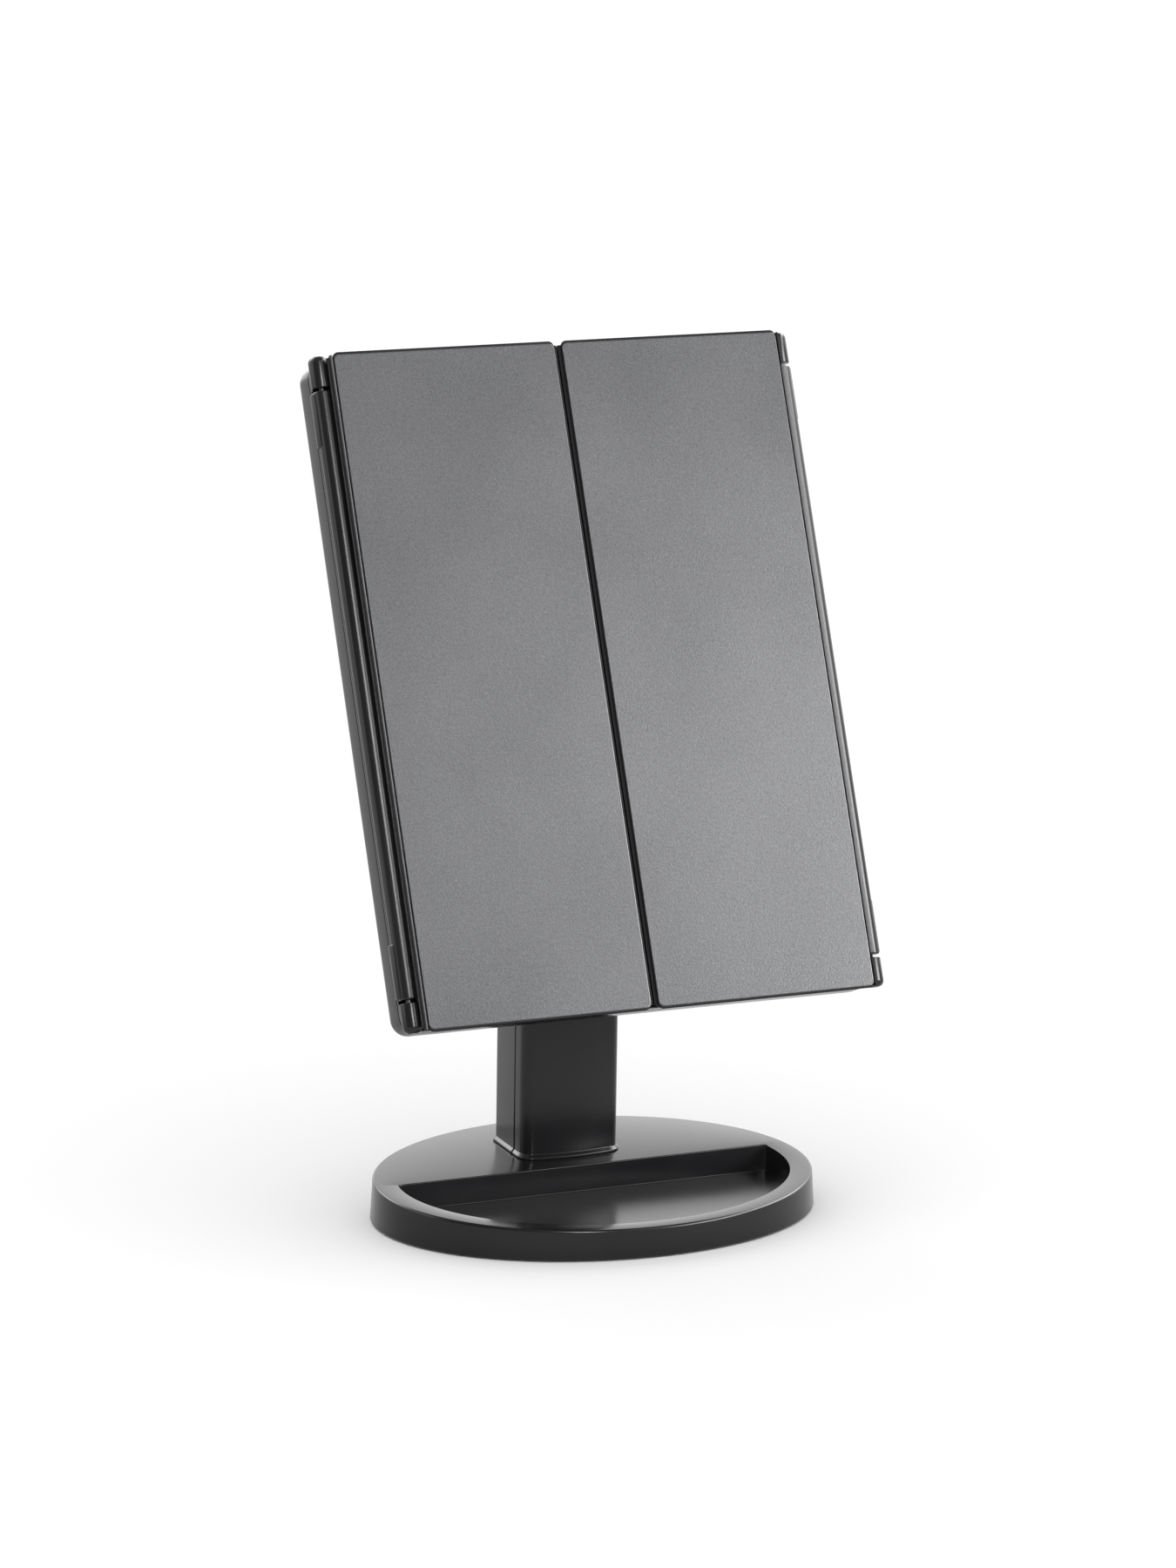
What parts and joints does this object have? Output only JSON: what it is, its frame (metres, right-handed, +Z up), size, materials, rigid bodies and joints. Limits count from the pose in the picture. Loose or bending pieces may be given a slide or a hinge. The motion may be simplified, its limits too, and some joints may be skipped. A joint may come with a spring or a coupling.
{
  "type": "countertop mirror",
  "caption": "Lighted countertop vanity mirror with two folding mirror wings over a lit centre panel, tilting on a battery column above an oval tray base.",
  "frame": {"origin": "on the table under the middle of the whole object, at the underside of the feet", "axes": "+Z up, +Y towards the back of the mirror, +X to the right when facing the closed wings from the front"},
  "size_m": [0.1856, 0.1256, 0.3056],
  "materials": {
    "satin_black": "satin moulded ABS",
    "grained_black": "fine spark-eroded grain, satin",
    "gloss_black": "glossy moulded ABS",
    "rubber": "matt",
    "steel": "zinc plated",
    "ballast_iron": "raw",
    "silvered_glass": "silvered float glass",
    "frosted_diffuser": "frosted, translucent",
    "board_green": "solder mask",
    "board_white": "white solder mask",
    "copper_pad": "tinned copper",
    "cell_wrap": "printed film sleeve"
  },
  "bodies": {
    "stand": {"base_shell": "satin_black", "base_plate": "satin_black", "ballast_plate": "ballast_iron", "foot_front_left": "rubber", "foot_front_right": "rubber", "foot_rear_left": "rubber", "foot_rear_right": "rubber", "base_screw_1": "steel", "base_screw_2": "steel", "stem_screw_1": "steel", "stem_screw_2": "steel", "usb_socket": "steel", "usb_tongue": "gloss_black", "stem_front": "satin_black", "stem_back": "satin_black", "neck_block": "satin_black", "contact_strip": "steel", "contact_button_1": "steel", "contact_button_2": "steel", "battery_1": "cell_wrap", "battery_2": "cell_wrap", "battery_3": "cell_wrap", "battery_4": "cell_wrap", "switch_housing": "gloss_black", "tilt_pin": "steel", "friction_washer_left": "steel", "friction_washer_right": "steel"},
    "head": {"head_bezel": "satin_black", "head_rear_cover": "satin_black", "centre_mirror": "silvered_glass", "touch_pad": "copper_pad", "control_board": "board_green", "light_strip_left": "frosted_diffuser", "light_strip_right": "frosted_diffuser", "led_board_left": "board_white", "led_board_right": "board_white", "pin_cap_left": "satin_black", "pin_cap_right": "satin_black", "hinge_pin_left_lower": "steel", "hinge_pin_left_upper": "steel", "hinge_pin_right_lower": "steel", "hinge_pin_right_upper": "steel", "tilt_bracket": "satin_black", "cover_screw_1": "steel", "cover_screw_2": "steel", "cover_screw_3": "steel", "cover_screw_4": "steel", "bracket_screw_1": "steel", "bracket_screw_2": "steel"},
    "left_wing": {"left_wing_frame": "gloss_black", "left_wing_cover": "grained_black", "left_wing_mirror_lower": "silvered_glass", "left_wing_mirror_upper": "silvered_glass"},
    "right_wing": {"right_wing_frame": "gloss_black", "right_wing_cover": "grained_black", "right_wing_mirror": "silvered_glass"},
    "battery_door": {"battery_door": "satin_black"},
    "power_switch": {"switch_knob": "satin_black"}
  },
  "joints": [
    {"name": "head_tilt", "type": "hinge", "parent": "stand", "child": "head", "pos_m": [0, 0.03105, 0.1737], "axis": [-1, 0, 0], "range_deg": [-22, 68]},
    {"name": "left_wing_hinge", "type": "hinge", "parent": "head", "child": "left_wing", "pos_m": [-0.0887, 0.00212, 0.19326], "axis": [0, -0.3746, -0.9272], "range_deg": [0, 165]},
    {"name": "right_wing_hinge", "type": "hinge", "parent": "head", "child": "right_wing", "pos_m": [0.0887, 0.00212, 0.19326], "axis": [0, 0.3746, 0.9272], "range_deg": [0, 165]},
    {"name": "battery_door_slide", "type": "slide", "parent": "stand", "child": "battery_door", "axis": [0, 1, 0], "range_m": [0, 0.03]},
    {"name": "power_switch_slide", "type": "slide", "parent": "stand", "child": "power_switch", "axis": [1, 0, 0], "range_m": [0, 0.003]}
  ]
}
